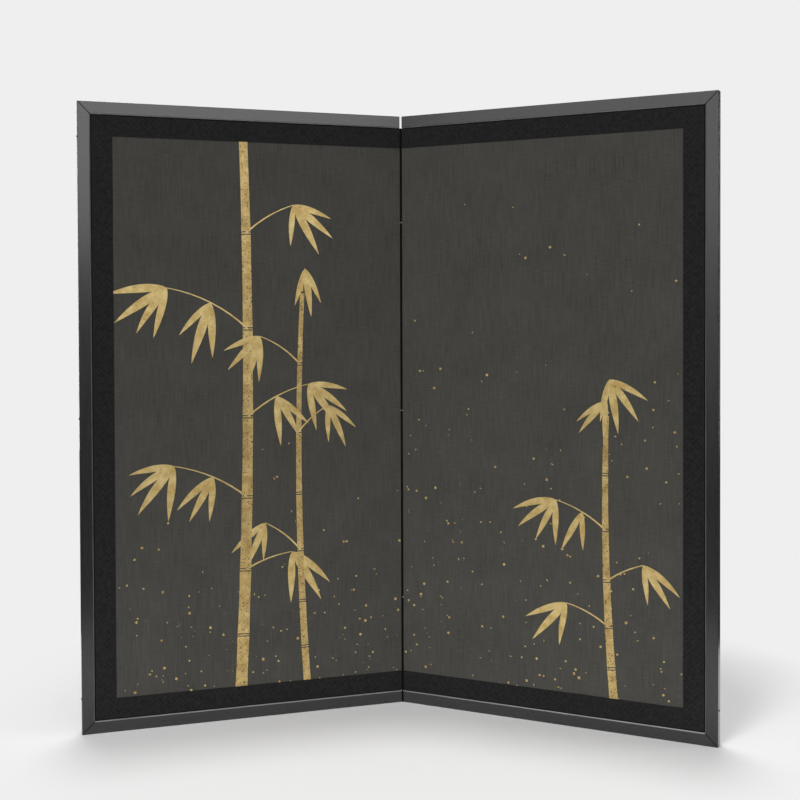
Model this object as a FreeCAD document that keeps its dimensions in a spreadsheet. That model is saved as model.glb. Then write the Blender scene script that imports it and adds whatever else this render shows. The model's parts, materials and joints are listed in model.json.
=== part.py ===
# Two-panel folding screen. Each panel is a papered lattice core in a lacquered frame that runs round
# three of its sides. Paper hinges in four zones cross from one face to the other by turns, so that
# the screen folds both ways. Millimetres, +Z up, seen from -Y, standing on Z = 0, fold at the back.
import FreeCAD, Part
import os
import Sketcher

# Driving sizes of one panel, of its frame, its core, its papers and its hinges
SIZES = {
    "panel_height": 909,
    "panel_width": 482.5,
    "frame_face": 18,
    "frame_depth": 15,
    "frame_proud_front": 1.2,
    "frame_proud_back": 1,
    "frame_rounding": 0.8,
    "frame_inner_chamfer": 1.5,
    "rail_setback": 0.5,
    "facing_thickness": 0.5,
    "back_paper_thickness": 0.4,
    "lining_thickness": 0.8,
    "groove_width": 1.5,
    "border_width": 29.3,
    "core_frame_width": 22,
    "lattice_width": 14,
    "tenon_length": 8,
    "tenon_thickness": 3.5,
    "gusset_leg": 55,
    "gusset_thickness": 4,
    "pin_radius": 0.8,
    "pin_clearance": 0.05,
    "pin_length": 30,
    "pin_head_radius": 1.5,
    "pin_head_height": 0.8,
    "pin_head_rounding": 0.6,
    "pin_end_share": 0.055,
    "hinge_gap": 2,
    "hinge_clearance": 0.3,
    "hinge_open_gap": 2,
    "hinge_end_share": 1 / 6,
    "hinge_zone_gap": 1,
    "web_thickness": 0.5,
    "wing_width": 25,
    "wing_thickness": 0.3,
    "fold_half_angle": 21.6,
    "overrun": 2,
}

# How many lattice members each core has
BAR_COUNT = 7
UPRIGHT_COUNT = 3

# Sizes that follow from the driving ones. A panel's own X runs outwards from its edge at the fold,
# Y from the front of its frame to the back, and Z up from half its height.
DERIVED = {
    "half_height": "=panel_height / 2",
    "core_end": "=half_height - frame_face",
    "core_side": "=panel_width - frame_face",
    "facing_front": "=frame_proud_front",
    "lining_front": "=facing_front + facing_thickness",
    "core_front": "=lining_front + lining_thickness",
    "back_face": "=frame_depth - frame_proud_back",
    "lining_back": "=back_face - back_paper_thickness",
    "core_back": "=lining_back - lining_thickness",
    "core_middle": "=(core_front + core_back) / 2",
    "tenon_front": "=core_middle - tenon_thickness / 2",
    "tenon_back": "=core_middle + tenon_thickness / 2",
    "clear_end": "=core_end - core_frame_width",
    "clear_side": "=core_side - core_frame_width",
    "tenon_end": "=clear_end + tenon_length",
    "tenon_side": "=clear_side + tenon_length",
    "tenon_fold": "=core_frame_width - tenon_length",
    "groove_end": "=core_end - groove_width",
    "groove_side": "=core_side - groove_width",
    "picture_end": "=groove_end - border_width",
    "picture_side": "=groove_side - border_width",
    "pin_reach": "=half_height * (1 - 2 * pin_end_share)",
    "pin_hole_radius": "=pin_radius + pin_clearance",
    "pin_tip": "=panel_width - pin_length",
    "zone_edge": "=core_end * (1 - 2 * hinge_end_share)",
    "web_place": "=-hinge_gap / 2",
    "fold_line_front": "=-hinge_clearance",
    "fold_line_back": "=frame_depth + hinge_clearance",
}

# The hinge zones from the top down, each between two heights
ZONES = (
    ("zone_edge", "core_end"),
    ("0", "zone_edge"),
    ("-zone_edge", "0"),
    ("-core_end", "-zone_edge"),
)

# Heights of the three pins of a stile, counted from half its height
PIN_HEIGHTS = ("-pin_reach", "0", "pin_reach")

# Places closer than this count as one when the edge to round is looked for
SAME_PLACE = 1e-4

DOC = FreeCAD.newDocument("folding_screen")
SHEET = DOC.addObject("Spreadsheet::Sheet", "sizes")
PIECES = {}


def fill_sheet():
    """Write the driving sizes as plain numbers and the others as formulas of them."""
    rows = {**{name: str(size) for name, size in SIZES.items()}, **DERIVED}
    for row, (name, content) in enumerate(rows.items(), start=1):
        SHEET.set(f"A{row}", name)
        SHEET.set(f"B{row}", content)
        SHEET.setAlias(f"B{row}", name)
    DOC.recompute()


def bound(expression):
    """Point each name of the sheet in an expression at its cell."""
    words = expression.replace("(", " ( ").replace(")", " ) ").replace("-", " - ").split()
    return " ".join(f"sizes.{word}" if word in SIZES or word in DERIVED else word for word in words)


def value(expression):
    """The present value of an expression, in millimetres or degrees."""
    return float(SHEET.evalExpression(bound(expression)))


def new_body(label):
    body = DOC.addObject("PartDesign::Body", label)
    body.Label = label
    body.AllowCompound = True
    PIECES[label] = body
    return body


def new_sketch(body, plane, start):
    """A sketch on one of the body's own planes, moved along the axis square to it."""
    sketch = body.newObject("Sketcher::SketchObject", "profile")
    support = next(item for item in body.Origin.OriginFeatures if item.Role == plane)
    sketch.AttachmentSupport = [(support, "")]
    sketch.MapMode = "FlatFace"
    away = f"-({start})" if plane == "XZ_Plane" else start
    sketch.setExpression("AttachmentOffset.Base.z", bound(away))
    return sketch


def tie(sketch, kind, geometry, point, expression):
    """Hold a point of the sketch at a distance from its origin that an expression gives."""
    constraint = Sketcher.Constraint(kind, -1, 1, geometry, point, value(expression))
    index = sketch.addConstraint(constraint)
    sketch.setExpression(f"Constraints[{index}]", bound(expression))


def draw_outline(sketch, points):
    """Draw a closed outline of straight lines through points given as pairs of expressions."""
    places = [FreeCAD.Vector(value(across), value(up), 0) for across, up in points]
    first = sketch.GeometryCount
    for start, end in zip(places, places[1:] + places[:1]):
        sketch.addGeometry(Part.LineSegment(start, end))
    for index, (across, up) in enumerate(points):
        before = first + (index - 1) % len(points)
        sketch.addConstraint(Sketcher.Constraint("Coincident", before, 2, first + index, 1))
        tie(sketch, "DistanceX", first + index, 1, across)
        tie(sketch, "DistanceY", first + index, 1, up)


def draw_circle(sketch, across, up, radius):
    centre = FreeCAD.Vector(value(across), value(up), 0)
    circle = sketch.addGeometry(Part.Circle(centre, FreeCAD.Vector(0, 0, 1), value(radius)))
    tie(sketch, "DistanceX", circle, 3, across)
    tie(sketch, "DistanceY", circle, 3, up)
    index = sketch.addConstraint(Sketcher.Constraint("Radius", circle, value(radius)))
    sketch.setExpression(f"Constraints[{index}]", bound(radius))


def rectangle(left, right, low, high):
    return [(left, low), (right, low), (right, high), (left, high)]


def pad(body, plane, start, length, *outlines):
    """Add material from the start plane, towards the positive side of its axis."""
    sketch = new_sketch(body, plane, start)
    for points in outlines:
        draw_outline(sketch, points)
    feature = body.newObject("PartDesign::Pad", "pad")
    feature.Profile = sketch
    feature.Reversed = plane == "XZ_Plane"
    feature.setExpression("Length", bound(length))
    DOC.recompute()
    return feature


def pocket(body, sketch, plane, length):
    """Take material away from the sketch's plane, towards the positive side of its axis."""
    before = body.Shape.Volume
    feature = body.newObject("PartDesign::Pocket", "pocket")
    feature.Profile = sketch
    feature.Reversed = plane != "XZ_Plane"
    feature.setExpression("Length", bound(length))
    DOC.recompute()
    if not body.Shape.Volume < before:
        raise RuntimeError(f"{body.Label}: a pocket took nothing away")
    return feature


def cut(body, plane, start, length, *outlines):
    sketch = new_sketch(body, plane, start)
    for points in outlines:
        draw_outline(sketch, points)
    return pocket(body, sketch, plane, length)


def edges_near(shape, places):
    """Names of the straight edges whose middle lies at one of the places, None meaning anywhere."""
    names = []
    for index, edge in enumerate(shape.Edges, start=1):
        middle = edge.CenterOfMass
        for place in places:
            if all(want is None or abs(have - want) < SAME_PLACE for have, want in zip(middle, place)):
                names.append(f"Edge{index}")
    return names


def dress(body, kind, size, places):
    """Round or chamfer the edges of the last feature that lie at the places."""
    base = body.Tip
    feature = body.newObject(f"PartDesign::{kind}", kind.lower())
    feature.Base = (base, edges_near(base.Shape, places))
    feature.setExpression("Radius" if kind == "Fillet" else "Size", bound(size))
    DOC.recompute()
    return feature


def bar_place(index):
    """Height of a lattice bar's middle, counted from the lowest."""
    share = 2 * index / (BAR_COUNT + 1) - 1
    return f"clear_end * {share}"


def upright_place(index):
    """Distance of an upright's middle from the fold, counted from the fold."""
    share = index / (UPRIGHT_COUNT + 1)
    return f"core_frame_width + (clear_side - core_frame_width) * {share}"


def frame_stile(label):
    """Outer stile of the frame, mitred to both rails and bored for its pins."""
    body = new_body(label)
    outline = rectangle("core_side", "panel_width", "0", "frame_depth")
    pad(body, "XY_Plane", "-half_height", "panel_height", outline)
    inner, outer, back = value("core_side"), value("panel_width"), value("frame_depth")
    dress(body, "Fillet", "frame_rounding", [(outer, 0, None), (outer, back, None), (inner, back, None)])
    dress(body, "Chamfer", "frame_inner_chamfer", [(inner, 0, None)])
    depth = "frame_depth + 2 * overrun"
    for end in ("", "-"):
        corner = [
            ("core_side", f"{end}core_end"),
            ("core_side - overrun", f"{end}core_end"),
            ("core_side - overrun", f"{end}(half_height + overrun)"),
            ("panel_width + overrun", f"{end}(half_height + overrun)"),
        ]
        cut(body, "XZ_Plane", "-overrun", depth, corner)
    bore_for_pins(body)


def frame_rail(label, end):
    """Rail of the frame: mitred to the stile outside and cut square at the fold."""
    body = new_body(label)
    outline = rectangle("0", "frame_depth", f"{end}core_end", f"{end}half_height")
    pad(body, "YZ_Plane", "rail_setback", "panel_width - rail_setback", outline)
    inner, outer = value(f"{end}core_end"), value(f"{end}half_height")
    back = value("frame_depth")
    dress(body, "Fillet", "frame_rounding", [(None, 0, outer), (None, back, outer), (None, back, inner)])
    dress(body, "Chamfer", "frame_inner_chamfer", [(None, 0, inner)])
    corner = [
        ("core_side - overrun", f"{end}(core_end - overrun)"),
        ("panel_width + overrun", f"{end}(core_end - overrun)"),
        ("panel_width + overrun", f"{end}(half_height + overrun)"),
    ]
    cut(body, "XZ_Plane", "-overrun", "frame_depth + 2 * overrun", corner)


def bore_for_pins(body):
    """Three bores, square to the panel's outer side, in whatever the frame's pins pass through."""
    sketch = new_sketch(body, "YZ_Plane", "pin_tip")
    for height in PIN_HEIGHTS:
        draw_circle(sketch, "frame_depth / 2", height, "pin_hole_radius")
    pocket(body, sketch, "YZ_Plane", "pin_length + overrun")


def frame_pins(label):
    """Three round pins with low rounded heads that hold the stile to the core."""
    body = new_body(label)
    half_section = [
        ("pin_tip", "0"),
        ("pin_tip", "pin_radius"),
        ("panel_width", "pin_radius"),
        ("panel_width", "pin_head_radius"),
        ("panel_width + pin_head_height", "pin_head_radius"),
        ("panel_width + pin_head_height", "0"),
    ]
    for height in PIN_HEIGHTS:
        sketch = new_sketch(body, "XY_Plane", height)
        sketch.setExpression("AttachmentOffset.Base.y", bound("frame_depth / 2"))
        draw_outline(sketch, half_section)
        turned = body.newObject("PartDesign::Revolution", "revolution")
        turned.Profile = sketch
        turned.ReferenceAxis = (sketch, ["H_Axis"])
        DOC.recompute()
    head, middle = value("panel_width + pin_head_height"), value("frame_depth / 2")
    dress(body, "Fillet", "pin_head_rounding", [(head, middle, None)])


def tenon_seats():
    """Outlines, in the plane of Y and Z, of the mortises for the bars and the core's own rails."""
    seats = []
    for index in range(1, BAR_COUNT + 1):
        middle = bar_place(index)
        low, high = f"{middle} - lattice_width / 2", f"{middle} + lattice_width / 2"
        seats.append(rectangle("tenon_front", "tenon_back", low, high))
    seats.append(rectangle("tenon_front", "tenon_back", "clear_end", "core_end + overrun"))
    seats.append(rectangle("tenon_front", "tenon_back", "-core_end - overrun", "-clear_end"))
    return seats


def core_stile(label, near, far, mortise_start):
    """Upright edge member of the core, mortised on its inner side."""
    body = new_body(label)
    outline = rectangle(near, far, "core_front", "core_back")
    pad(body, "XY_Plane", "-core_end", "2 * core_end", outline)
    cut(body, "YZ_Plane", mortise_start, "tenon_length", *tenon_seats())
    return body


def tenoned(near, far, near_tenon, far_tenon, notches, notch_depth):
    """Outline of a member seen along its width: a tenon at each end, notches along one face."""
    points = [
        (near_tenon, "tenon_front"),
        (near, "tenon_front"),
        (near, "core_front"),
    ]
    if notch_depth == "front":
        for low, high in notches:
            points += [(low, "core_front"), (low, "core_middle"), (high, "core_middle"), (high, "core_front")]
    points += [
        (far, "core_front"),
        (far, "tenon_front"),
        (far_tenon, "tenon_front"),
        (far_tenon, "tenon_back"),
        (far, "tenon_back"),
        (far, "core_back"),
    ]
    if notch_depth == "back":
        for low, high in reversed(notches):
            points += [(high, "core_back"), (high, "core_middle"), (low, "core_middle"), (low, "core_back")]
    points += [
        (near, "core_back"),
        (near, "tenon_back"),
        (near_tenon, "tenon_back"),
    ]
    return points


def notch(middle):
    return (f"{middle} - lattice_width / 2", f"{middle} + lattice_width / 2")


def core_rail(label, low, mortise_start):
    """Top or bottom edge member of the core, mortised on its inner side for the uprights."""
    body = new_body(label)
    outline = tenoned("core_frame_width", "clear_side", "tenon_fold", "tenon_side", [], None)
    pad(body, "XY_Plane", low, "core_frame_width", outline)
    seats = []
    for index in range(1, UPRIGHT_COUNT + 1):
        left, right = notch(upright_place(index))
        seats.append(rectangle(left, right, "tenon_front", "tenon_back"))
    cut(body, "XY_Plane", mortise_start, "tenon_length", *seats)


def core_bar(label, index):
    """Lattice bar from stile to stile, notched behind where the uprights cross it."""
    body = new_body(label)
    notches = [notch(upright_place(place)) for place in range(1, UPRIGHT_COUNT + 1)]
    outline = tenoned("core_frame_width", "clear_side", "tenon_fold", "tenon_side", notches, "back")
    pad(body, "XY_Plane", f"{bar_place(index)} - lattice_width / 2", "lattice_width", outline)


def core_upright(label, index):
    """Lattice upright from rail to rail, notched in front where the bars cross it."""
    body = new_body(label)
    notches = [notch(bar_place(place)) for place in range(1, BAR_COUNT + 1)]
    outline = tenoned("-clear_end", "clear_end", "-tenon_end", "tenon_end", notches, "front")
    flipped = [(depth, height) for height, depth in outline]
    pad(body, "YZ_Plane", f"{upright_place(index)} - lattice_width / 2", "lattice_width", flipped)


def corner_gussets(label):
    """Thin triangular plates, flush with the core's front, that keep its four corners square."""
    body = new_body(label)
    corners = []
    for end in ("", "-"):
        for side, turn in (("core_frame_width", "+"), ("clear_side", "-")):
            corners.append([
                (side, f"{end}clear_end"),
                (f"{side} {turn} gusset_leg", f"{end}clear_end"),
                (side, f"{end}(clear_end - gusset_leg)"),
            ])
    pad(body, "XZ_Plane", "core_front", "gusset_thickness", *corners)


def zone_span(zone):
    """Low and high end of what lies in a hinge zone, a little short of the neighbouring zones."""
    low, high = ZONES[zone]
    return f"{low} + hinge_zone_gap / 2", f"{high} - hinge_zone_gap / 2"


def lining(label, start, recess_start, zones):
    """Layered paper stretched over the core, let in at the fold for the wings of the hinges."""
    body = new_body(label)
    pad(body, "XZ_Plane", start, "lining_thickness", rectangle("0", "core_side", "-core_end", "core_end"))
    seats = []
    for zone in zones:
        low, high = zone_span(zone)
        seats.append(rectangle("-overrun", "wing_width", low, high))
    cut(body, "XZ_Plane", recess_start, "wing_thickness", *seats)


def sheet_piece(label, start, thickness, left, right, low, high):
    """A flat sheet of paper or cloth pasted on the lining."""
    body = new_body(label)
    pad(body, "XZ_Plane", start, thickness, rectangle(left, right, low, high))


def hinge_wings(label, zones, seat_low, seat_high, lip_low, lip_high):
    """Hinge paper glued flat on the lining and turned up the panel's edge to the fold line."""
    body = new_body(label)
    for zone in zones:
        low, high = zone_span(zone)
        flat = rectangle("-wing_thickness", "wing_width", seat_low, seat_high)
        lip = rectangle("-wing_thickness", "0", lip_low, lip_high)
        pad(body, "XY_Plane", low, f"({high}) - ({low})", flat)
        pad(body, "XY_Plane", low, f"({high}) - ({low})", lip)


def hinge_web(label, zone, back):
    """Paper that crosses the fold from its front line towards the back one, with a rounded end at each."""
    body = new_body(label)
    low, high = zone_span(zone)
    left, right = "web_place - web_thickness / 2", "web_place + web_thickness / 2"
    pad(body, "XY_Plane", low, f"({high}) - ({low})", rectangle(left, right, "fold_line_front", back))
    for place in ("fold_line_front", back):
        sketch = new_sketch(body, "XY_Plane", low)
        draw_circle(sketch, "web_place", place, "web_thickness / 2")
        fold = body.newObject("PartDesign::Pad", "pad")
        fold.Profile = sketch
        fold.setExpression("Length", bound(f"({high}) - ({low})"))
        DOC.recompute()


def build_panel(side, upper, lower, webs, web_back):
    """All pieces of a panel in its own frame. The left panel is the right one turned end over end."""
    frame_stile(f"{side}_outer_stile")
    frame_rail(f"{side}_{upper}_rail", "")
    frame_rail(f"{side}_{lower}_rail", "-")
    frame_pins(f"{side}_frame_pins")
    core_stile(f"{side}_core_fold_stile", "0", "core_frame_width", "tenon_fold")
    outer = core_stile(f"{side}_core_outer_stile", "clear_side", "core_side", "clear_side")
    bore_for_pins(outer)
    core_rail(f"{side}_core_{upper}_rail", "clear_end", "clear_end")
    core_rail(f"{side}_core_{lower}_rail", "-core_end", "-tenon_end")
    for index in range(1, BAR_COUNT + 1):
        core_bar(f"{side}_core_bar_{index}", index)
    for index in range(1, UPRIGHT_COUNT + 1):
        core_upright(f"{side}_core_upright_{index}", index)
    corner_gussets(f"{side}_core_gussets")
    lining(f"{side}_front_lining", "lining_front", "lining_front", (1, 3))
    lining(f"{side}_back_lining", "core_back", "lining_back - wing_thickness", (0, 2))
    facing = (f"{side}_picture_sheet", "facing_front", "facing_thickness")
    sheet_piece(*facing, "0", "picture_side", "-picture_end", "picture_end")
    facing = (f"{side}_{upper}_border", "facing_front", "facing_thickness")
    sheet_piece(*facing, "0", "picture_side", "picture_end", "groove_end")
    facing = (f"{side}_{lower}_border", "facing_front", "facing_thickness")
    sheet_piece(*facing, "0", "picture_side", "-groove_end", "-picture_end")
    facing = (f"{side}_side_border", "facing_front", "facing_thickness")
    sheet_piece(*facing, "picture_side", "groove_side", "-groove_end", "groove_end")
    backing = (f"{side}_back_paper", "lining_back", "back_paper_thickness")
    sheet_piece(*backing, "0", "core_side", "-core_end", "core_end")
    seat = ("lining_front", "lining_front + wing_thickness", "0", "lining_front")
    hinge_wings(f"{side}_front_hinge_paper", (1, 3), *seat)
    seat = ("lining_back - wing_thickness", "lining_back", "lining_back", "frame_depth")
    hinge_wings(f"{side}_back_hinge_paper", (0, 2), *seat)
    for zone, label in zip((0, 2), webs):
        hinge_web(label, zone, web_back)


def panel_placement(turned, pivot_depth):
    """Where a panel stands: swung about the fold's front line by half of the fold."""
    pivot = FreeCAD.Vector(value("web_place"), value("fold_line_front"), 0)
    flip = FreeCAD.Rotation(FreeCAD.Vector(0, 1, 0), 180 if turned else 0)
    swing = value("fold_half_angle") * (1 if turned else -1)
    at_pivot = FreeCAD.Placement(-flip.multVec(pivot), flip)
    swung = FreeCAD.Placement(FreeCAD.Vector(), FreeCAD.Rotation(FreeCAD.Vector(0, 0, 1), swing))
    stand = FreeCAD.Vector(0, pivot_depth, value("half_height"))
    return FreeCAD.Placement(stand, FreeCAD.Rotation()) * swung * at_pivot


def stand_up(panels, pivot_depth):
    for labels, turned in panels:
        for label in labels:
            PIECES[label].Placement = panel_placement(turned, pivot_depth)
    DOC.recompute()


def check_pieces():
    failed = [item.Name for item in DOC.Objects if {"Invalid", "Error"} & set(item.State)]
    for label, piece in PIECES.items():
        if piece.Shape.isNull() or not piece.Shape.isValid() or not piece.Shape.Solids:
            failed.append(label)
    if failed:
        raise RuntimeError("failed: " + ", ".join(failed))


fill_sheet()
build_panel("right", "top", "bottom", ("hinge_web_1", "hinge_web_3"), "fold_line_back")
right_labels = list(PIECES)
build_panel("left", "bottom", "top", ("hinge_web_4", "hinge_web_2"), "fold_line_back - hinge_open_gap")
left_labels = [label for label in PIECES if label not in right_labels]
both = ((right_labels, False), (left_labels, True))
stand_up(both, 0)
depths = Part.makeCompound([piece.Shape for piece in PIECES.values()]).optimalBoundingBox()
stand_up(both, -depths.Center.y)
check_pieces()
os.makedirs("parts", exist_ok=True)
for label, piece in PIECES.items():
    piece.Shape.exportStep(f"parts/{label}.step")
print(f"{len(PIECES)} pieces, fold line at Y = {-depths.Center.y:.4f}")
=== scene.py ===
"""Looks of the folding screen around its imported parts. Metres, +Z up, seen from -Y."""

import json
import random
from cmath import rect
from math import cos, pi, radians, sin

import bmesh
import bpy
from mathutils import Matrix, Vector


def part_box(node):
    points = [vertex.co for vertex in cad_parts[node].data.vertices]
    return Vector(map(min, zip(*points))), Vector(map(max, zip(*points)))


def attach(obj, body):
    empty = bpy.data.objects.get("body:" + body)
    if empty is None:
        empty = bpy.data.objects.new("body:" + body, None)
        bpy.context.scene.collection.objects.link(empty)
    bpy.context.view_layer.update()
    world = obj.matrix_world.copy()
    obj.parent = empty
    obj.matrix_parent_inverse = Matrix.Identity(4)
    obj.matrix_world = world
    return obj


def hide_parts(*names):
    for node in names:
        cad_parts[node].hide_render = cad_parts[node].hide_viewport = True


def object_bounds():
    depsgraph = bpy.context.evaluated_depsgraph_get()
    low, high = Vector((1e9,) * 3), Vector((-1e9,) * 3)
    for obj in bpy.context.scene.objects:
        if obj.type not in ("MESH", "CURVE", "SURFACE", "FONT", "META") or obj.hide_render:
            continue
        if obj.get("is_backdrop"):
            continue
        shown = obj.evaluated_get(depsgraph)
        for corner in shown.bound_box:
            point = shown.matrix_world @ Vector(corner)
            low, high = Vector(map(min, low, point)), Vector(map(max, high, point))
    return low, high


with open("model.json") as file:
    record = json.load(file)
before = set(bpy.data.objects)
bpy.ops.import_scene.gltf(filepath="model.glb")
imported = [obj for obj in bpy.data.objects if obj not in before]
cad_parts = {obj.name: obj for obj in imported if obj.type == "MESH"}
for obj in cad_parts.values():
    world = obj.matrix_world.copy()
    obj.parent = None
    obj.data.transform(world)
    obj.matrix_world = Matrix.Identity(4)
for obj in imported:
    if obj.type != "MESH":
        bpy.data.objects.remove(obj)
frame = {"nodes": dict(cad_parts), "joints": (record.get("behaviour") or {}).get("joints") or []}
cad_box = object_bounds()
NODES = frame["nodes"]
JOINTS = {joint["name"]: joint for joint in frame["joints"]}
MM = 0.001

# The fold: its front line, and how far each panel is swung from flat
FOLD_LINE = Vector((*JOINTS["fold_inward"]["pos_m"][:2], 0))
HALF_FOLD = radians(JOINTS["fold_inward"]["range_deg"][1]) / 2
SIDES = {"left": HALF_FOLD, "right": -HALF_FOLD}
OUTWARD = {"left": -1, "right": 1}


def panel_matrix(side):
    """From a panel's own frame to the row's: X along the panel, Y from front to back, Z up."""
    return Matrix.Translation(FOLD_LINE) @ Matrix.Rotation(SIDES[side], 4, "Z")


def panel_box(side, node):
    """Lowest and highest corner of a node in its panel's own frame."""
    back = panel_matrix(side).inverted()
    measures = list(zip(*[back @ vertex.co for vertex in NODES[node].data.vertices]))
    return Vector(map(min, measures)), Vector(map(max, measures))


# Camera, fitted to the straight edges of the screen in the photograph: pixels, millimetres for
# the sensor, metres for the place, degrees
IMAGE_SIDE = 800
FOCAL_PIXELS = 1206.9
PRINCIPAL_ROW = 340.8
SENSOR_WIDTH = 36
CAMERA_PLACE = (0.1248, -1.7845, 0.5945)
CAMERA_YAW = 3.89
CAMERA_PITCH = 0.981
CAMERA_ROLL = -0.222


def make_camera():
    """The camera that took the photograph."""
    data = bpy.data.cameras.new("camera")
    camera = bpy.data.objects.new("camera", data)
    bpy.context.scene.collection.objects.link(camera)
    data.sensor_width = SENSOR_WIDTH
    data.lens = FOCAL_PIXELS / IMAGE_SIDE * SENSOR_WIDTH
    data.shift_y = PRINCIPAL_ROW / IMAGE_SIDE - 0.5
    turn = Matrix.Rotation(radians(CAMERA_YAW), 4, "Z")
    tilt = Matrix.Rotation(radians(90 - CAMERA_PITCH), 4, "X")
    roll = Matrix.Rotation(radians(CAMERA_ROLL), 4, "Z")
    camera.matrix_world = Matrix.Translation(CAMERA_PLACE) @ turn @ tilt @ roll
    bpy.context.scene.camera = camera


# Places of the sockets that a colour mix uses
MIX_SHARE, MIX_FIRST, MIX_SECOND, MIX_RESULT = 0, 6, 7, 2


class Tree:
    """A few short words for building a node tree."""

    def __init__(self, owner):
        owner.use_nodes = True
        self.tree = owner.node_tree
        self.tree.nodes.clear()

    def add(self, kind, inputs=(), **settings):
        """A node of a kind with its settings, and its inputs, by name or place, set or linked."""
        node = self.tree.nodes.new(f"ShaderNode{kind}")
        for name, setting in settings.items():
            setattr(node, name, setting)
        for name, given in dict(inputs).items():
            if isinstance(given, bpy.types.NodeSocket):
                self.tree.links.new(given, node.inputs[name])
            else:
                node.inputs[name].default_value = given
        return node

    def math(self, operation, *given):
        return self.add("Math", enumerate(given), operation=operation).outputs[0]

    def noise(self, vector, scale, detail, rough=0.5):
        inputs = {"Vector": vector, "Scale": scale, "Detail": detail, "Roughness": rough}
        return self.add("TexNoise", inputs).outputs["Fac"]

    def stretched(self, vector, *scales):
        """A place scaled along X, Y and Z. A pattern is drawn out where the scale is small."""
        return self.add("Mapping", {"Vector": vector, "Scale": scales}).outputs["Vector"]

    def between(self, share, low, high, first=0.0, second=1.0):
        """Goes from one value to another while the share goes from low to high."""
        inputs = {"Value": share, "From Min": low, "From Max": high, "To Min": first, "To Max": second}
        return self.add("MapRange", inputs).outputs["Result"]

    def colours(self, share, first, second):
        inputs = {MIX_SHARE: share, MIX_FIRST: first, MIX_SECOND: second}
        return self.add("Mix", inputs, data_type="RGBA").outputs[MIX_RESULT]

    def bump(self, height, strength, distance):
        inputs = {"Height": height, "Strength": strength, "Distance": distance}
        return self.add("Bump", inputs).outputs["Normal"]

    def surface(self, colour, roughness, normal, **others):
        """The shader itself, with its other inputs by name. What is the same all over is set on
        its own sockets."""
        inputs = {"Base Color": colour, "Roughness": roughness, "Normal": normal}
        inputs.update({name.replace("_", " "): given for name, given in others.items()})
        shader = self.add("BsdfPrincipled", inputs)
        self.add("OutputMaterial", {"Surface": shader.outputs[0]})

    def place(self):
        """The point of the surface in the row's frame at rest, in metres."""
        return self.add("TexCoord").outputs["Object"]

    def panel_place(self, side):
        """The same point in the panel's own frame: along the panel, through it and up."""
        offset = Matrix.Rotation(-SIDES[side], 4, "Z") @ -FOLD_LINE
        inputs = {"Vector": self.place(), "Location": offset, "Rotation": (0, 0, -SIDES[side])}
        return self.add("Mapping", inputs).outputs["Vector"]


def linear(level):
    """The light that a level of a picture, 0 to 255, stands for."""
    share = level / 255
    return share / 12.92 if share < 0.04045 else ((share + 0.055) / 1.055) ** 2.4


def rgb(red, green, blue):
    """A colour for a shader from the three levels that a picture of it shows."""
    return (*map(linear, (red, green, blue)), 1)


# Colours of the finishes: the darkest and the lightest tone of each, the paler colour painted
# on the frame's inner chamfer as a highlight, and what shows where gold leaf is worn away
LACQUER = (rgb(35, 35, 36), rgb(48, 47, 47))
CHAMFER_HIGHLIGHT = rgb(150, 149, 147)
SILK = (rgb(64, 63, 59), rgb(88, 87, 82))
BORDER_CLOTH = (rgb(23, 23, 24), rgb(43, 43, 43))
LINING_PAPER = (rgb(12, 12, 12), rgb(22, 21, 21))
BACK_PAPER = (rgb(46, 46, 47), rgb(66, 65, 65))
HINGE_PAPER = (rgb(9, 9, 9), rgb(18, 17, 17))
SOFTWOOD = (rgb(206, 174, 128), rgb(232, 208, 166))
PIN_METAL = (rgb(62, 58, 52), rgb(150, 140, 122))
BRIGHT_LEAF = (rgb(206, 174, 104), rgb(240, 216, 150))
WORN_LEAF = (rgb(186, 154, 92), rgb(228, 200, 134))
UNDER_LEAF = rgb(60, 55, 44)

# Where the highlight is painted on the frame's inner chamfer: how far in from the frame's outer
# side it starts, and how far behind the frame's front it starts and stops, each over a short blend
CHAMFER_HIGHLIGHT_INSET = (10 * MM, 11 * MM)
CHAMFER_HIGHLIGHT_START = (0.1 * MM, 0.3 * MM)
CHAMFER_HIGHLIGHT_STOP = (2.5 * MM, 2 * MM)

# The lozenges of the border: their pitch, and how the figure's edge blends into the ground
LOZENGE_PITCH = 8 * MM
LOZENGE_EDGE = (0.6 * MM, 1.1 * MM)

# Level of the specks' noise below which gold leaf is worn away, and how far it blends
BRIGHT_LOSS = 0.36
WORN_LOSS = 0.42
LOSS_BLEND = 0.03


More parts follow.
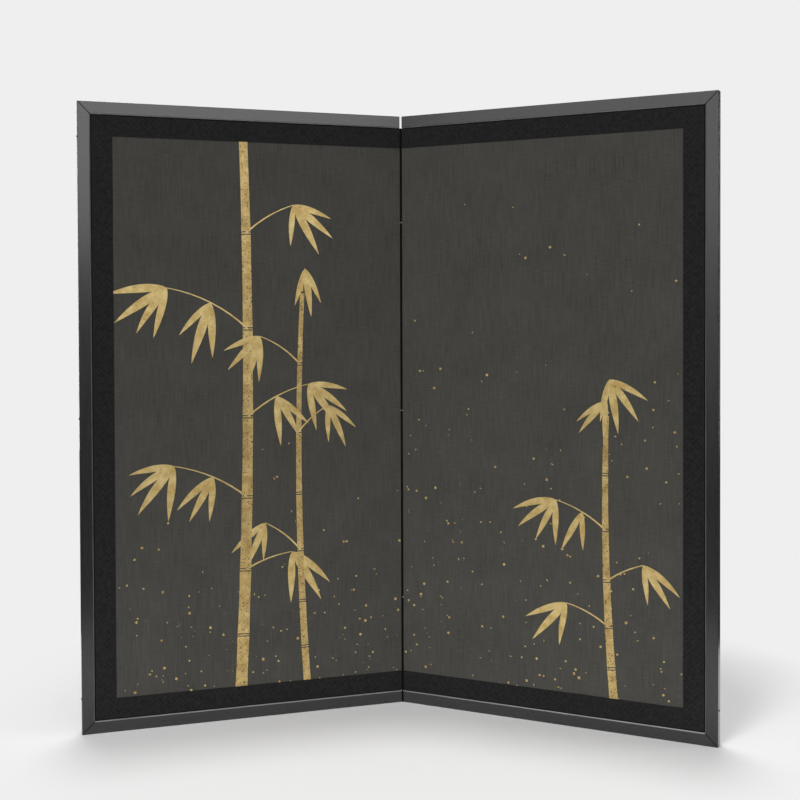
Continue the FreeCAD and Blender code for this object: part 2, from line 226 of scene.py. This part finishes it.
def lacquer(side, upright):
    """Satin charcoal lacquer over wood whose grain runs along the member, with a
    highlight painted paler along the inner chamfer."""
    material = bpy.data.materials.new(f"{side}_lacquer_{'upright' if upright else 'level'}")
    tree = Tree(material)
    place = tree.panel_place(side)
    along = (1, 1, 0.02) if upright else (0.02, 1, 1)
    grain = tree.noise(tree.stretched(place, *along), scale=1100, detail=3, rough=0.6)
    pores = tree.noise(tree.stretched(place, *[2 * share for share in along]), scale=2600, detail=1)
    cloud = tree.noise(place, scale=9, detail=3)
    tone = tree.math("MULTIPLY_ADD", grain, 0.75, tree.math("MULTIPLY", cloud, 0.25))
    colour = tree.colours(tree.between(tone, 0.32, 0.68), *LACQUER)
    split = tree.add("SeparateXYZ", {0: place}).outputs
    low, high = panel_box(side, f"{side}_outer_stile")
    # How far the frame's outer side lies from the fold, or for the rails from mid-height
    middle, reach = (0, max(-low.x, high.x)) if upright else (high.z / 2, high.z / 2)
    away = tree.math("ABSOLUTE", tree.math("SUBTRACT", split["X" if upright else "Z"], middle))
    inside = tree.between(away, *[reach - inset for inset in CHAMFER_HIGHLIGHT_INSET])
    behind = tree.between(split["Y"], *[low.y + depth for depth in CHAMFER_HIGHLIGHT_START])
    before = tree.between(split["Y"], *[low.y + depth for depth in CHAMFER_HIGHLIGHT_STOP])
    # Painted highlight: the frame's inner chamfer is made paler, in streaks along the grain
    chamfer = tree.math("MULTIPLY", inside, tree.math("MULTIPLY", behind, before))
    chamfer_highlight = tree.math("MULTIPLY", chamfer, tree.between(grain, 0.3, 0.7, 0.35, 1.0))
    colour = tree.colours(chamfer_highlight, colour, CHAMFER_HIGHLIGHT)
    roughness = tree.between(tone, 0.3, 0.7, 0.2, 0.27)
    height = tree.math("MULTIPLY_ADD", pores, -0.4, grain)
    normal = tree.bump(height, strength=0.08, distance=0.1 * MM)
    tree.surface(colour, roughness, normal, Coat_Weight=0.5, Coat_Roughness=0.18)
    return material


def silk(side):
    """Plain silk: fine threads both ways, some thicker than others, in a warm charcoal."""
    material = bpy.data.materials.new(f"{side}_silk")
    tree = Tree(material)
    place = tree.panel_place(side)
    weft = tree.noise(tree.stretched(place, 0.03, 0, 1), scale=1900, detail=1)
    warp = tree.noise(tree.stretched(place, 1, 0, 0.02), scale=1500, detail=1)
    slubs = tree.noise(tree.stretched(place, 1, 0, 0.05), scale=380, detail=2)
    cloud = tree.noise(place, scale=14, detail=3)
    threads = tree.math("ADD", weft, warp)
    tone = tree.math("MULTIPLY_ADD", slubs, 0.6, tree.math("MULTIPLY_ADD", cloud, 0.5, threads))
    colour = tree.colours(tree.between(tone, 1.15, 1.95), *SILK)
    roughness = tree.between(threads, 0.7, 1.3, 0.72, 0.88)
    normal = tree.bump(threads, strength=0.35, distance=0.1 * MM)
    tree.surface(colour, roughness, normal, Specular_IOR_Level=0.15)
    return material


def border_cloth(side):
    """Black figured cloth with small lozenges woven in at the same tone."""
    material = bpy.data.materials.new(f"{side}_border_cloth")
    tree = Tree(material)
    place = tree.panel_place(side)
    split = tree.add("SeparateXYZ", {0: place}).outputs
    folded = [tree.math("PINGPONG", split[axis], LOZENGE_PITCH / 2) for axis in ("X", "Z")]
    lozenge = tree.math("PINGPONG", tree.math("ADD", *folded), LOZENGE_PITCH / 4)
    figure = tree.between(lozenge, *LOZENGE_EDGE)
    threads = tree.noise(tree.stretched(place, 1, 0, 0.6), scale=1500, detail=1)
    mottle = tree.noise(place, scale=190, detail=3, rough=0.6)
    tone = tree.math("MULTIPLY_ADD", figure, 0.16, tree.math("MULTIPLY_ADD", threads, 0.5, mottle))
    colour = tree.colours(tree.between(tone, 0.55, 1.1), *BORDER_CLOTH)
    roughness = tree.between(figure, 0, 1, 0.74, 0.66)
    height = tree.math("MULTIPLY_ADD", figure, 0.5, threads)
    normal = tree.bump(height, strength=0.4, distance=0.12 * MM)
    tree.surface(colour, roughness, normal, Specular_IOR_Level=0.12)
    return material


def paper(name, dark, light):
    """Dark handmade paper with long fibres lying every way and a soft cloudiness."""
    material = bpy.data.materials.new(name)
    tree = Tree(material)
    place = tree.place()
    cloud = tree.noise(place, scale=24, detail=4)
    lying = tree.noise(tree.stretched(place, 1, 1, 0.12), scale=420, detail=2)
    standing = tree.noise(tree.stretched(place, 0.12, 0.12, 1), scale=420, detail=2)
    fibres = tree.math("MAXIMUM", lying, standing)
    tone = tree.math("MULTIPLY_ADD", fibres, 0.6, tree.math("MULTIPLY", cloud, 0.5))
    colour = tree.colours(tree.between(tone, 0.4, 0.8), dark, light)
    roughness = tree.between(cloud, 0.3, 0.7, 0.82, 0.94)
    normal = tree.bump(fibres, strength=0.25, distance=0.1 * MM)
    tree.surface(colour, roughness, normal, Specular_IOR_Level=0.15)
    return material


def softwood():
    """Planed straight-grained softwood, for the core inside."""
    material = bpy.data.materials.new("softwood")
    tree = Tree(material)
    place = tree.place()
    rings = tree.noise(tree.stretched(place, 1, 1, 0.03), scale=330, detail=2)
    fibres = tree.noise(tree.stretched(place, 1, 1, 0.02), scale=2400, detail=1)
    tone = tree.math("MULTIPLY_ADD", fibres, 0.3, rings)
    colour = tree.colours(tree.between(tone, 0.4, 0.9), *SOFTWOOD)
    roughness = tree.between(fibres, 0.3, 0.7, 0.55, 0.68)
    tree.surface(colour, roughness, tree.bump(fibres, strength=0.15, distance=0.1 * MM))
    return material


def pin_metal():
    """Blackened metal, worn brighter in places."""
    material = bpy.data.materials.new("pin_metal")
    tree = Tree(material)
    rub = tree.noise(tree.place(), scale=900, detail=3)
    colour = tree.colours(tree.between(rub, 0.45, 0.7), *PIN_METAL)
    roughness = tree.between(rub, 0.3, 0.7, 0.5, 0.3)
    normal = tree.bump(rub, strength=0.2, distance=0.05 * MM)
    tree.surface(colour, roughness, normal, Metallic=0.9)
    return material


def gold_leaf(name, dark, light, loss):
    """Laid metal leaf: cloudy, crinkled, and worn through to the dark ground in specks."""
    material = bpy.data.materials.new(name)
    tree = Tree(material)
    place = tree.place()
    cloud = tree.noise(place, scale=65, detail=4, rough=0.6)
    crinkle = tree.noise(place, scale=700, detail=3, rough=0.65)
    specks = tree.noise(place, scale=420, detail=4, rough=0.7)
    holes = tree.between(specks, loss, loss - LOSS_BLEND)
    leaf = tree.colours(tree.between(cloud, 0.35, 0.68), dark, light)
    colour = tree.colours(holes, leaf, UNDER_LEAF)
    roughness = tree.math("MULTIPLY_ADD", holes, 0.3, tree.between(crinkle, 0.3, 0.7, 0.38, 0.52))
    normal = tree.bump(crinkle, strength=0.3, distance=0.15 * MM)
    tree.surface(colour, roughness, normal, Metallic=tree.between(holes, 0, 1, 0.45, 0.0))
    return material


def dress(names, finish):
    """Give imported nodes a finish."""
    for name in names:
        for slot in NODES[name].material_slots:
            slot.material = finish


def dress_frame():
    """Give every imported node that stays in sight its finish, and return that of hinge paper."""
    for side in SIDES:
        dress([f"{side}_outer_stile"], lacquer(side, upright=True))
        dress([f"{side}_top_rail", f"{side}_bottom_rail"], lacquer(side, upright=False))
    hinge_paper = paper("hinge_paper", *HINGE_PAPER)
    finishes = {
        "_core_": softwood(),
        "_lining": paper("lining_paper", *LINING_PAPER),
        "_back_paper": paper("back_paper", *BACK_PAPER),
        "_hinge_paper": hinge_paper,
        "hinge_web_": hinge_paper,
        "_frame_pins": pin_metal(),
    }
    for words, finish in finishes.items():
        dress([name for name in NODES if words in name], finish)
    return hinge_paper


def mesh_piece(name, build, finish, body):
    """A piece whose mesh a function builds, with its finish, riding on a body."""
    mesh = bpy.data.meshes.new(name)
    made = bmesh.new()
    build(made)
    bmesh.ops.recalc_face_normals(made, faces=made.faces)
    made.to_mesh(mesh)
    made.free()
    mesh.materials.append(finish)
    piece = bpy.data.objects.new(name, mesh)
    bpy.context.scene.collection.objects.link(piece)
    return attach(piece, body)


def add_loft(made, loops):
    """A closed body through a row of loops of points, capped at both ends."""
    rings = [[made.verts.new(point) for point in loop] for loop in loops]
    made.faces.new(rings[0])
    made.faces.new(rings[-1][::-1])
    for ring, after in zip(rings, rings[1:]):
        for index, vertex in enumerate(ring):
            beside = (index + 1) % len(ring)
            made.faces.new((ring[beside], vertex, after[index], after[beside]))


# Cloth facings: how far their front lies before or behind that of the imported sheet, and how
# far their front edges are rounded
CLOTH_EDGE = 0.22 * MM
EDGE_STEPS = 3
SILK_BACK = 0.2 * MM
BORDER_PROUD = 0.3 * MM


def make_cloth(side, node, name, finish, set_back):
    """A cloth facing in place of a packed sheet, its front set back from the sheet's, and its
    front edges turned back over a small round."""
    matrix = panel_matrix(side)
    low, high = panel_box(side, node)

    def outline(inset, depth):
        left, right, foot, top = low.x + inset, high.x - inset, low.z + inset, high.z - inset
        corners = ((left, foot), (right, foot), (right, top), (left, top))
        return [matrix @ Vector((across, depth, up)) for across, up in corners]

    def build(made):
        loops = [outline(0, high.y)]
        for step in range(EDGE_STEPS + 1):
            turn = pi / 2 * step / EDGE_STEPS
            inset, behind = CLOTH_EDGE * (1 - cos(turn)), CLOTH_EDGE * (1 - sin(turn))
            loops.append(outline(inset, low.y + set_back + behind))
        add_loft(made, loops)

    piece = mesh_piece(name, build, finish, f"{side}_panel")
    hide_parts(node)


def make_facings():
    """The picture silk and the three strips of border on each panel."""
    for side in SIDES:
        make_cloth(side, f"{side}_picture_sheet", f"{side}_picture_silk", silk(side), SILK_BACK)
        cloth = border_cloth(side)
        for place in ("top", "bottom", "side"):
            node = f"{side}_{place}_border"
            make_cloth(side, node, f"{node}_cloth", cloth, -BORDER_PROUD)


# Hinge paper where it bends: rolls in the gap between the panels, thicker between two zones, and
# the strip over each panel's edge. At the foot a wider dark roll fills the gap between the bottom
# rails.
ROLL_RADIUS = 0.775 * MM
COLLAR_RADIUS = 0.98 * MM
FOOT_ROLL_RADIUS = 1.54 * MM
ROLL_SIDES = 32
ZONE_GAP = 1 * MM
FLOOR_GAP = 0.5 * MM
EDGE_PAPER = 0.15 * MM

# The hinge zones, from the top down
ZONES = (1, 2, 3, 4)


def add_roll(made, radius, low, high):
    """A roll round the front fold line between two heights."""
    turns = [2 * pi * index / ROLL_SIDES for index in range(ROLL_SIDES)]
    circle = [FOLD_LINE + Vector((radius * cos(turn), radius * sin(turn), 0)) for turn in turns]
    add_loft(made, [[Vector((*point.xy, up)) for point in circle] for up in (low, high)])


def make_rolls(finish):
    """Rolls on the front fold line, one to a zone, each on the body of its zone's web: paper from
    the lowest web up to the top rails, and a wider dark roll from the floor up between the bottom
    rails."""
    rail_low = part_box("right_top_rail")[0][2]
    for zone in ZONES:
        low, high = [corner[2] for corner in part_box(f"hinge_web_{zone}")]
        top = rail_low if zone == ZONES[0] else high
        body = "hinge_webs_a" if zone % 2 else "hinge_webs_b"

        def roll(made):
            add_roll(made, ROLL_RADIUS, low, top)
            if zone == ZONES[-1]:
                add_roll(made, FOOT_ROLL_RADIUS, FLOOR_GAP, low)
            else:
                add_roll(made, COLLAR_RADIUS, low - ZONE_GAP, low)

        mesh_piece(f"hinge_fold_{zone}", roll, finish, body)


def make_edge_papers(finish):
    """Paper over each panel's wooden edge at the fold, from rail to rail."""
    for side in SIDES:
        matrix = panel_matrix(side)
        low, high = panel_box(side, f"{side}_core_fold_stile")
        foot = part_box(f"{side}_bottom_rail")[1][2]
        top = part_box(f"{side}_top_rail")[0][2]
        lining = panel_box(side, f"{side}_front_lining")[0].y
        backing = panel_box(side, f"{side}_back_paper")[0].y
        edge = low.x if OUTWARD[side] > 0 else high.x
        off = edge - OUTWARD[side] * EDGE_PAPER
        corners = ((off, lining), (edge, lining), (edge, backing), (off, backing))

        def strip(made):
            loops = [[matrix @ Vector((*corner, up)) for corner in corners] for up in (foot, top)]
            add_loft(made, loops)

        mesh_piece(f"{side}_edge_paper", strip, finish, f"{side}_panel")


# Dark lines of the mitres: half their width, their height, and how far short of the corner
# they stop
LINE_HALF = 0.55 * MM
LINE_HEIGHT = 0.02 * MM
LINE_SHORT = 1.2 * MM


def make_mitre_lines(finish):
    """A thin line of dark filler where each stile meets its rails, on both faces of the frame."""
    for side in SIDES:
        matrix = panel_matrix(side)
        out = OUTWARD[side]
        low, high = panel_box(side, f"{side}_outer_stile")
        outer = high.x if out > 0 else low.x
        rail_low, rail_high = panel_box(side, f"{side}_top_rail")
        steps = (LINE_SHORT, rail_high.z - rail_low.z)

        def lines(made):
            for end, inward in ((low.z, 1), (high.z, -1)):
                start, stop = [Vector((outer - out * step, end + inward * step)) for step in steps]
                across = LINE_HALF * Vector((out, inward)).normalized()
                outline = (start - across, stop - across, stop + across, start + across)
                for face, away in ((low.y, -1), (high.y, 1)):
                    depths = (face, face + away * LINE_HEIGHT)
                    add_loft(made, [[matrix @ Vector((x, y, z)) for x, z in outline] for y in depths])

        mesh_piece(f"{side}_mitre_lines", lines, finish, f"{side}_panel")


# Bamboo in laid gold leaf, and flecks of leaf strewn under it. Outlines are complex numbers in
# metres, across from the fold and up from the picture's foot. Angles are in degrees, 90 up.

# Plates of leaf: the least thickness, and what is added to it in turn, so that two plates that
# cross don't lie level. Sides of an outline that are shorter than the shortest are left out.
LEAF_THICKNESS = 0.1 * MM
LEAF_STEP = 0.012 * MM
LEAF_LEVELS = 7
SHORTEST_SIDE = 0.012 * MM

# A stem: how much longer each stretch is than the last, the gap and the ring at a joint, and
# how much wider the ends of a stretch and of a ring are
CULM_STEPS = 6
STRETCH_GROWTH = 0.13
JOINT_GAP = 1.5 * MM
JOINT_RING = 2 * MM
STRETCH_SWELL = 0.06
RING_SWELL = 0.12
SWELL_POWER = 3

# A twig: half its width at the stem, and how much of that it loses
TWIG_STEPS = 8
TWIG_HALF = 1.3 * MM
TWIG_TAPER = 0.55

# A leaf: its length by half its width, and the powers that place and round its widest part
BLADE_STEPS = 14
BLADE_SLIMNESS = 14
BLADE_LEAN = 0.75
BLADE_ROUND = 0.9

# A spray: the angle between its leaves, how much shorter each is than the one nearer the middle,
# and the spread of sizes, of turns and of bends. A leaf bends towards straight down.
SPRAY_FAN = 28
SPRAY_SHRINK = 0.12
SIZE_SPREAD = (0.86, 1.1)
TURN_SPREAD = (-7, 7)
BEND_SPREAD = (-6, 6)
LEAF_DROOP = 0.22

# Stems: foot, heading, length, bend, width, taper and number of joints. Then the branches: the
# joint, heading, length and bend of the twig, and the sprays on it: share, heading, count, length
STEMS = {
    "left_tall_bamboo": ((0.252 - 0.01j, 93, 0.84, -5, 0.0175, 0.30, 7), (
        (2, 150, 0.075, 24, ((1.0, -122, 3, 0.082),)),
        (3, 40, 0.120, -30, ((0.5, -58, 3, 0.084), (1.0, -38, 4, 0.092))),
        (4, 138, 0.105, 30, ((0.55, -118, 3, 0.080), (1.0, -140, 4, 0.088))),
        (5, 44, 0.135, -34, ((0.5, -70, 3, 0.086), (1.0, -40, 4, 0.096))),
        (6, 136, 0.085, 26, ((1.0, -128, 4, 0.086),)),
    )),
    "left_short_bamboo": ((0.150 - 0.01j, 86, 0.60, 7, 0.011, 0.42, 7), (
        (3, 52, 0.070, -26, ((1.0, -62, 3, 0.072),)),
        (5, 128, 0.060, 24, ((1.0, -112, 3, 0.070),)),
        (6, 50, 0.075, -30, ((1.0, -52, 4, 0.076),)),
        (7, 92, 0.035, 10, ((1.0, -96, 3, 0.074),)),
    )),
    "right_young_bamboo": ((0.335 - 0.01j, 95, 0.42, -7, 0.0125, 0.42, 6), (
        (2, 142, 0.070, 26, ((1.0, -130, 3, 0.072),)),
        (3, 38, 0.060, -22, ((1.0, -60, 3, 0.070),)),
        (4, 138, 0.085, 28, ((0.5, -108, 2, 0.066), (1.0, -140, 4, 0.078))),
        (6, 92, 0.050, -14, ((0.4, -130, 3, 0.070), (1.0, -62, 4, 0.078))),
    )),
}

# Flecks on each side: how many, the height that most lie at and their spread, as shares. Then
# half the diagonal of a fleck in millimetres, and how slim it may be.
FLECKS = {"left": (150, 0.02, 0.16), "right": (210, 0.10, 0.34)}
FLECK_HALVES = (0.8, 2.6)
FLECK_SLIMNESS = (1, 1, 0.8, 0.3)

# First seeds of the random draws
STEM_SEED = 20
FLECK_SEED = 40


def bent_line(start, heading, length, bend, steps):
    """Points along a line that sets out at a heading and turns evenly."""
    line = [start]
    for step in range(steps):
        turn = radians(heading + bend * (step + 0.5) / steps)
        line.append(line[-1] + rect(length / steps, turn))
    return line


def ribbon(line, halves):
    """Outline of a strip along a line, with half its width given at each point."""
    runs = [after - before for before, after in zip(line, line[1:])]
    offsets = [half * 1j * run / abs(run) for run, half in zip(runs + runs[-1:], halves)]
    near = [point + offset for point, offset in zip(line, offsets)]
    far = [point - offset for point, offset in zip(line, offsets)]
    return near + far[::-1]


def clipped(outline, width, height):
    """What of an outline lies within the picture."""
    for way, limit in ((1, width), (-1, 0), (-1j, height), (1j, 0)):
        kept = []
        for start, end in zip(outline, outline[1:] + outline[:1]):
            room, room_after = limit - (start * way).real, limit - (end * way).real
            if room >= 0:
                kept.append(start)
            if room * room_after < 0:
                kept.append(start + (end - start) * room / (room - room_after))
        outline = kept
    return outline


def blade(foot, heading, length, bend):
    """A leaf: a long point on a bending middle line, widest two fifths of the way out."""
    line = bent_line(foot, heading, length, bend, BLADE_STEPS)
    shares = [step / BLADE_STEPS for step in range(BLADE_STEPS + 1)]
    rises = [max(sin(pi * share ** BLADE_LEAN), 0) for share in shares]
    return ribbon(line, [length / BLADE_SLIMNESS * rise ** BLADE_ROUND for rise in rises])


def spray(draw, foot, heading, count, length):
    """Leaves that fan out from one point, the middle ones longest, their tips drawn down."""
    for index in range(count):
        off = index - (count - 1) / 2
        size = length * (1 - SPRAY_SHRINK * abs(off)) * draw.uniform(*SIZE_SPREAD)
        turn = heading + SPRAY_FAN * off + draw.uniform(*TURN_SPREAD)
        yield blade(foot, turn, size, -LEAF_DROOP * (turn + 90) + draw.uniform(*BEND_SPREAD))


def branch(draw, foot, heading, length, bend, sprays):
    """A twig, thinner towards its end, and the sprays on it."""
    line = bent_line(foot, heading, length, bend, TWIG_STEPS)
    shares = [step / TWIG_STEPS for step in range(TWIG_STEPS + 1)]
    yield ribbon(line, [TWIG_HALF * (1 - TWIG_TAPER * share) for share in shares])
    for share, way, count, size in sprays:
        yield from spray(draw, line[round(share * TWIG_STEPS)], way, count, size)


def culm(foot, heading, length, bend, width, taper, joints):
    """A stem: outlines of its stretches and of the rings between them, and the joints' places."""
    line = bent_line(foot, heading, length, bend, joints * CULM_STEPS)
    steps = [1 + STRETCH_GROWTH * index for index in range(joints)]
    shares = [sum(steps[:count]) / sum(steps) for count in range(joints + 1)]
    gap, ring = JOINT_GAP / length, JOINT_RING / length

    def at(share):
        whole = share * (len(line) - 1)
        index = min(int(whole), len(line) - 2)
        return line[index] + (whole - index) * (line[index + 1] - line[index])

    def strip(low, high, swell):
        parts = [step / CULM_STEPS for step in range(CULM_STEPS + 1)]
        cuts = [low + (high - low) * part for part in parts]
        swells = [1 + swell * abs(2 * part - 1) ** SWELL_POWER for part in parts]
        halves = [width * (1 - taper * cut) * wider / 2 for cut, wider in zip(cuts, swells)]
        return ribbon([at(cut) for cut in cuts], halves)

    outlines = []
    for low, high in zip(shares, shares[1:]):
        outlines.append(strip(low + gap + ring / 2, high - gap - ring / 2, STRETCH_SWELL))
        if high < 1:
            outlines.append(strip(high - ring / 2, high + ring / 2, RING_SWELL))
    return outlines, [at(high) for high in shares[1:]]


def flecks(draw, width, height, count, middle, spread):
    """Small cut squares and slivers of leaf, strewn thicker towards a height."""
    for _ in range(count):
        place = complex(draw.uniform(0, width), height * abs(draw.gauss(middle, spread)))
        half = rect(draw.uniform(*FLECK_HALVES) * MM, draw.uniform(0, pi))
        slim = draw.choice(FLECK_SLIMNESS)
        yield [place + half, place + slim * 1j * half, place - half, place - slim * 1j * half]


def lay_leaf(name, outlines, finish):
    """A piece of many thin plates of leaf on the picture of the side that its name starts with."""
    side = name.split("_")[0]
    matrix = panel_matrix(side)
    low, high = panel_box(side, f"{side}_picture_sheet")
    corner = low.x if OUTWARD[side] > 0 else high.x
    back = low.y + SILK_BACK

    def build(made):
        for index, outline in enumerate(outlines):
            cut = clipped(outline, high.x - low.x, high.z - low.z)
            ends = zip(cut, cut[1:] + cut[:1])
            cut = [point for point, after in ends if abs(point - after) > SHORTEST_SIDE]
            if len(cut) > 2:
                front = back - LEAF_THICKNESS - LEAF_STEP * (index % LEAF_LEVELS)
                plate = [(corner + OUTWARD[side] * point.real, low.z + point.imag) for point in cut]
                loops = [[matrix @ Vector((x, y, z)) for x, z in plate] for y in (front, back)]
                add_loft(made, loops)

    mesh_piece(name, build, finish, f"{side}_panel")


def make_design():
    """The bamboo, stem by stem, and the flecks on each side."""
    bright = gold_leaf("gold_leaf_bright", *BRIGHT_LEAF, BRIGHT_LOSS)
    worn = gold_leaf("gold_leaf_worn", *WORN_LEAF, WORN_LOSS)
    for seed, (name, (stem, branches)) in enumerate(STEMS.items(), STEM_SEED):
        draw = random.Random(seed)
        outlines, joints = culm(*stem)
        lay_leaf(f"{name}_stem", outlines, worn)
        leaves = []
        for joint, *twig in branches:
            leaves += branch(draw, joints[joint - 1], *twig)
        lay_leaf(f"{name}_leaves", leaves, bright)
    for seed, (side, amount) in enumerate(FLECKS.items(), FLECK_SEED):
        low, high = panel_box(side, f"{side}_picture_sheet")
        strewn = flecks(random.Random(seed), high.x - low.x, high.z - low.z, *amount)
        lay_leaf(f"{side}_gold_flecks", list(strewn), worn)


# The stage: a pale round floor that fades, with its shadows, into a plain pale background
BACKGROUND = rgb(239, 239, 239)
FLOOR = rgb(235, 235, 235)
FLOOR_RADIUS = 0.78
FLOOR_SIDES = 64
FLOOR_FADE = (0.53, 0.73)


def make_floor():
    """A round floor that takes light and shadow, and that the camera sees fade away outwards."""
    mesh = bpy.data.meshes.new("floor")
    made = bmesh.new()
    bmesh.ops.create_circle(made, cap_ends=True, segments=FLOOR_SIDES, radius=FLOOR_RADIUS)
    bmesh.ops.translate(made, verts=made.verts, vec=FOLD_LINE)
    made.to_mesh(mesh)
    made.free()
    floor = bpy.data.objects.new("floor", mesh)
    bpy.context.scene.collection.objects.link(floor)
    material = bpy.data.materials.new("floor")
    tree = Tree(material)
    ends = {0: tree.place(), 1: FOLD_LINE}
    away = tree.add("VectorMath", ends, operation="DISTANCE").outputs["Value"]
    lit = tree.add("BsdfDiffuse", {"Color": FLOOR}).outputs[0]
    plain = tree.add("Emission", {"Color": BACKGROUND, "Strength": 1.0}).outputs[0]
    camera = tree.add("LightPath").outputs["Is Camera Ray"]
    share = tree.math("MULTIPLY", tree.between(away, *FLOOR_FADE), camera)
    mixed = tree.add("MixShader", {0: share, 1: lit, 2: plain}).outputs[0]
    tree.add("OutputMaterial", {"Surface": mixed})
    mesh.materials.append(material)
    floor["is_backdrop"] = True


# Light of the room: low down, overhead, and how high up it has changed from one to the other
ROOM_LOW = (0.06, 0.06, 0.06, 1)
ROOM_HIGH = (0.15, 0.15, 0.15, 1)
ROOM_RISE = 0.6

# Gloss sees the backdrop only where it looks nearly straight back
BACKDROP_IN_GLOSS = (0.9, 0.98)


def make_world():
    """A dim room with a lighter ceiling, and the pale backdrop that the camera and gloss see."""
    world = bpy.data.worlds.new("world")
    bpy.context.scene.world = world
    tree = Tree(world)
    path = tree.add("LightPath").outputs
    way = tree.add("SeparateXYZ", {0: tree.add("TexCoord").outputs["Generated"]}).outputs
    room = tree.colours(tree.between(way["Z"], 0, ROOM_RISE), ROOM_LOW, ROOM_HIGH)
    light = tree.add("Background", {"Color": room, "Strength": 1.0}).outputs[0]
    plain = tree.add("Background", {"Color": BACKGROUND, "Strength": 1.0}).outputs[0]
    mirrored = tree.math("MAXIMUM", path["Is Glossy Ray"], path["Is Transmission Ray"])
    behind = tree.math("MULTIPLY", mirrored, tree.between(way["Y"], *BACKDROP_IN_GLOSS))
    share = tree.math("MAXIMUM", path["Is Camera Ray"], behind)
    mixed = tree.add("MixShader", {0: share, 1: light, 2: plain}).outputs[0]
    tree.add("OutputWorld", {"Surface": mixed})


# Softboxes: place, the way they face, size and power
SOFTBOXES = {
    "softbox": ((1.05, -3.1, 1.55), (0, 1, -0.5), (3.8, 1.5), 41),
    "dim_softbox": ((-2.15, -3.1, 1.55), (0, 1, -0.5), (2.6, 1.5), 18.4),
    "low_softbox": ((-2.15, -3.1, 0.5), (0, 1, 0), (2.6, 0.6), 2.3),
    "ceiling": ((-0.2, -0.63, 3.1), (0, 0, -1), (3.0, 0.4), 6),
    "back_softbox": ((0, 3.1, 0.8), (0, -1, 0), (4.0, 1.5), 50),
}

# Soft light from far off: where it throws the shadow of the screen's top, across and back, how
# wide the light is in degrees, and its power
SUNS = {
    "light_from_behind": (0.03, -0.124, 11, 1.04),
    "light_from_front": (0.29, 0.45, 12, 0.94),
    "light_from_right": (-0.5, 0, 15, 0.22),
}


def add_lamp(name, kind, power, place, way):
    """A lamp that shines one way from a place, and that the camera doesn't see."""
    data = bpy.data.lights.new(name, kind)
    data.energy = power
    lamp = bpy.data.objects.new(name, data)
    bpy.context.scene.collection.objects.link(lamp)
    lamp.location = place
    lamp.visible_camera = False
    lamp.rotation_mode = "QUATERNION"
    lamp.rotation_quaternion = Vector(way).to_track_quat("-Z", "Y")
    return data


def make_lamps():
    """The softboxes and the soft light from far off."""
    for name, (place, way, size, power) in SOFTBOXES.items():
        data = add_lamp(name, "AREA", power, place, way)
        data.shape = "RECTANGLE"
        data.size, data.size_y = size
    screen_top = cad_box[1][2]
    for name, (across, back, spread, power) in SUNS.items():
        data = add_lamp(name, "SUN", power, (0, 0, 0), (across, back, -screen_top))
        data.angle = radians(spread)


bpy.context.scene.view_settings.view_transform = "Standard"
make_camera()
make_world()
make_floor()
make_lamps()
hinge_finish = dress_frame()
make_facings()
make_rolls(hinge_finish)
make_edge_papers(hinge_finish)
make_mitre_lines(hinge_finish)
make_design()

bounds = {"cad": cad_box, "visual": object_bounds()}
{name: [list(corner) for corner in box] for name, box in bounds.items()}
